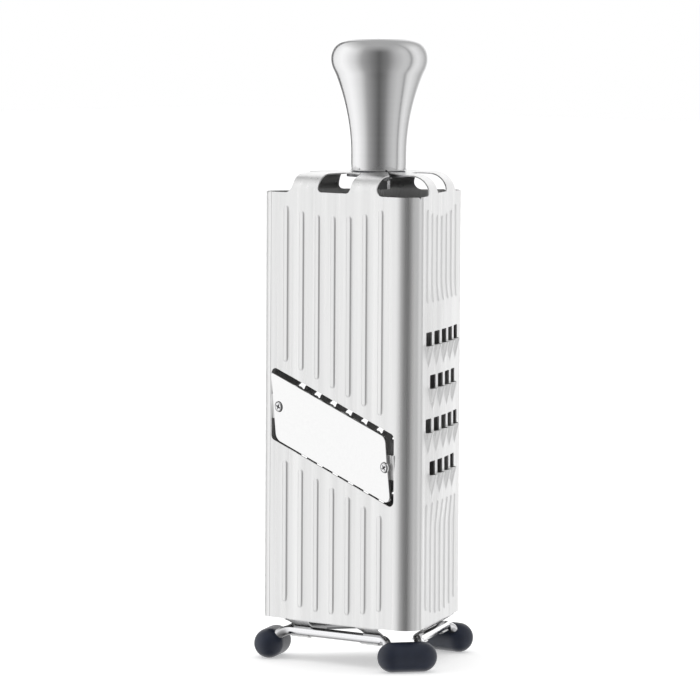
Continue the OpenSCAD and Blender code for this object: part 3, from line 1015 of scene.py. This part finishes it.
def foot(name, face):
    """A capsule along its own axis, flattened where it stands."""
    profile = []
    for k in range(17):
        t = math.radians(-90 + 90 * k / 16)
        profile.append((FOOT_R * math.cos(t), -FOOT_HALF + FOOT_R * math.sin(t)))
    profile[0] = (0, -FOOT_HALF - FOOT_R)
    profile += [(FOOT_R, -FOOT_HALF + FOOT_HALF * k / 4) for k in range(1, 8)]
    mirror = [(r, -z) for r, z in reversed(profile[:17])]
    verts, faces = revolve(profile + mirror, 64)
    outward = Vector((FOOT_MIDDLE.x, FOOT_MIDDLE.y, 0)).normalized()
    placed = []
    for x, y, z in verts:
        p = FOOT_MIDDLE + FOOT_ALONG * z + outward * x + Vector((0, 0, 1)) * y
        p.z = max(p.z, 0.0)
        placed.append(to_row(p, face))
    add_piece(name + "_sleeve", placed, faces, RUBBER_MAT, name)


# ---------------------------------------------------------------- build everything

slicer_sheet()
coarse_sheet()
fine_sheet()
knob()
wire()
blade()
ear("blade_ear_left", -1)
ear("blade_ear_right", 1)
screw("blade_screw_left", -1)
screw("blade_screw_right", 1)
foot("foot_front_right", 0)
foot("foot_rear", 1)
foot("foot_front_left", 2)

HIDDEN_STEEL = ["blade_nut_left", "blade_nut_right", "crown_clamp_plate", "clamp_washer", "knob_lock_washer",
                "knob_bolt", "knob_base_disc", "knob_threaded_boss"]
for node_name, material in [(name, FIXING_MAT) for name in HIDDEN_STEEL] + [("knob_seal", SEAL_MAT)]:
    frame["nodes"][node_name].data.materials.clear()
    frame["nodes"][node_name].data.materials.append(material)


# ---------------------------------------------------------------- studio

def stage_floor():
    size = 6.0
    mesh = bpy.data.meshes.new("floor")
    mesh.from_pydata([(-size, -size, 0), (size, -size, 0), (size, size, 0), (-size, size, 0)], [],
                     [(0, 1, 2, 3)])
    obj = bpy.data.objects.new("floor", mesh)
    bpy.context.scene.collection.objects.link(obj)
    mat, tree, bsdf = new_material("floor")
    bsdf.inputs["Base Color"].default_value = (0.93, 0.93, 0.93, 1)
    bsdf.inputs["Roughness"].default_value = 0.9
    bsdf.inputs["Emission Color"].default_value = (1, 1, 1, 1)
    bsdf.inputs["Emission Strength"].default_value = 0.42
    mesh.materials.append(mat)
    obj.location.z = -0.0002
    obj.visible_glossy = False


def top_light():
    """A soft panel above the tower, a little to its front, which reflections don't show."""
    data = bpy.data.lights.new("top", "AREA")
    data.shape = "RECTANGLE"
    data.size = 1.6
    data.size_y = 1.6
    data.energy = 8
    obj = bpy.data.objects.new("top", data)
    elevation = math.radians(88)
    place = Vector((0, -math.cos(elevation), math.sin(elevation))) * 1.8
    obj.location = place + Vector((0, 0, 0.15))
    obj.rotation_euler = (-place).to_track_quat("-Z", "Y").to_euler()
    bpy.context.scene.collection.objects.link(obj)
    obj.visible_glossy = False


# Brightness round the tower, as (degrees from the camera's side, brightness); negative is to the left
STUDIO = [(-180, 1.3), (-165, 1.55), (-146, 1.5), (-143, 0.6), (-139, 0.1), (-133, 0.1), (-130, 1.05),
          (-98, 1.26), (-84, 1.17), (-60, 0.88), (-40, 0.45), (-20, 0.28), (0, 0.14), (20, 0.26),
          (40, 0.55), (60, 0.72), (74, 0.7), (80, 0.35), (87, 0.85), (100, 1.0), (118, 0.8),
          (134, 0.5), (142, 0.75), (147, 1.2), (156, 1.38)]
CAMERA_AZIMUTH = 43.26
CAMERA_ELEVATION = 4.05
CAMERA_DISTANCE = 2903.0
CAMERA_ROLL = 0.32
STUDIO_TOP = 0.5
STUDIO_GROUND = 0.4
STUDIO_SCALE = 1.6    # the world's strength: the ramp's colours are brightness over this


def camera_side_angle(tree, xyz):
    """Azimuth of a direction, measured from the camera's side of the tower, from -pi to pi."""
    minus_y = node(tree, "ShaderNodeMath", operation="MULTIPLY")
    minus_y.inputs[1].default_value = -1.0
    tree.links.new(xyz.outputs["Y"], minus_y.inputs[0])
    azimuth = node(tree, "ShaderNodeMath", operation="ARCTAN2")
    tree.links.new(xyz.outputs["X"], azimuth.inputs[0])
    tree.links.new(minus_y.outputs[0], azimuth.inputs[1])
    turned = node(tree, "ShaderNodeMath", operation="SUBTRACT")
    turned.inputs[1].default_value = math.radians(CAMERA_AZIMUTH)
    tree.links.new(azimuth.outputs[0], turned.inputs[0])
    wrapped = node(tree, "ShaderNodeMath", operation="WRAP")
    wrapped.inputs[1].default_value = math.pi
    wrapped.inputs[2].default_value = -math.pi
    tree.links.new(turned.outputs[0], wrapped.inputs[0])
    return wrapped.outputs[0]


def studio_band(tree, angle):
    """The brightness given by STUDIO for an azimuth."""
    band = node(tree, "ShaderNodeValToRGB")
    stops = band.color_ramp.elements
    stops[0].position = 0.0
    stops[0].color = (STUDIO[0][1] / STUDIO_SCALE,) * 3 + (1,)
    stops[1].position = 1.0
    stops[1].color = stops[0].color
    for degrees, level in STUDIO[1:]:
        stop = stops.new((degrees + 180) / 360)
        stop.color = (level / STUDIO_SCALE,) * 3 + (1,)
    tree.links.new(ramp(tree, angle, 0.0, 1.0, -math.pi, math.pi), band.inputs["Fac"])
    return band.outputs["Color"]


def world():
    """Soft panels and dark gaps all round, an even ceiling, a darker ground; the camera sees plain white."""
    w = bpy.data.worlds.new("studio")
    bpy.context.scene.world = w
    w.use_nodes = True
    tree = w.node_tree
    coords = node(tree, "ShaderNodeTexCoord")
    xyz = node(tree, "ShaderNodeSeparateXYZ")
    tree.links.new(coords.outputs["Generated"], xyz.inputs["Vector"])
    walls = studio_band(tree, camera_side_angle(tree, xyz))
    height = ramp(tree, xyz.outputs["Z"], 0.0, 1.0, 0.55, 0.92)
    room = mix_colour(tree, height, walls, STUDIO_TOP / STUDIO_SCALE)
    depth = ramp(tree, xyz.outputs["Z"], 1.0, 0.0, -0.95, -0.72)
    bg = tree.nodes["Background"]
    tree.links.new(mix_colour(tree, depth, room, STUDIO_GROUND, "MULTIPLY"), bg.inputs["Color"])
    bg.inputs["Strength"].default_value = STUDIO_SCALE
    seen = node(tree, "ShaderNodeBackground")
    seen.inputs["Color"].default_value = (1, 1, 1, 1)
    path = node(tree, "ShaderNodeLightPath")
    choose = node(tree, "ShaderNodeMixShader")
    tree.links.new(path.outputs["Is Camera Ray"], choose.inputs["Fac"])
    tree.links.new(bg.outputs["Background"], choose.inputs[1])
    tree.links.new(seen.outputs["Background"], choose.inputs[2])
    tree.links.new(choose.outputs["Shader"], tree.nodes["World Output"].inputs["Surface"])


def camera():
    azimuth = math.radians(CAMERA_AZIMUTH)
    elevation = math.radians(CAMERA_ELEVATION)
    aim = Vector((math.cos(azimuth), math.sin(azimuth), 0)) * -13.0 + Vector((0, 0, 147.3))
    back = Vector((math.sin(azimuth) * math.cos(elevation), -math.cos(azimuth) * math.cos(elevation),
                   math.sin(elevation)))
    data = bpy.data.cameras.new("camera")
    data.sensor_width = 36
    data.lens = 315.0
    data.clip_start = 0.1
    data.clip_end = 50
    obj = bpy.data.objects.new("camera", data)
    obj.location = to_row(aim + back * CAMERA_DISTANCE)
    turn = (-back).to_track_quat("-Z", "Y").to_matrix().to_4x4()
    obj.rotation_euler = (turn @ Matrix.Rotation(math.radians(CAMERA_ROLL), 4, "Z")).to_euler()
    bpy.context.scene.collection.objects.link(obj)
    bpy.context.scene.camera = obj


world()
stage_floor()
top_light()
camera()
bpy.context.scene.view_settings.view_transform = "Standard"
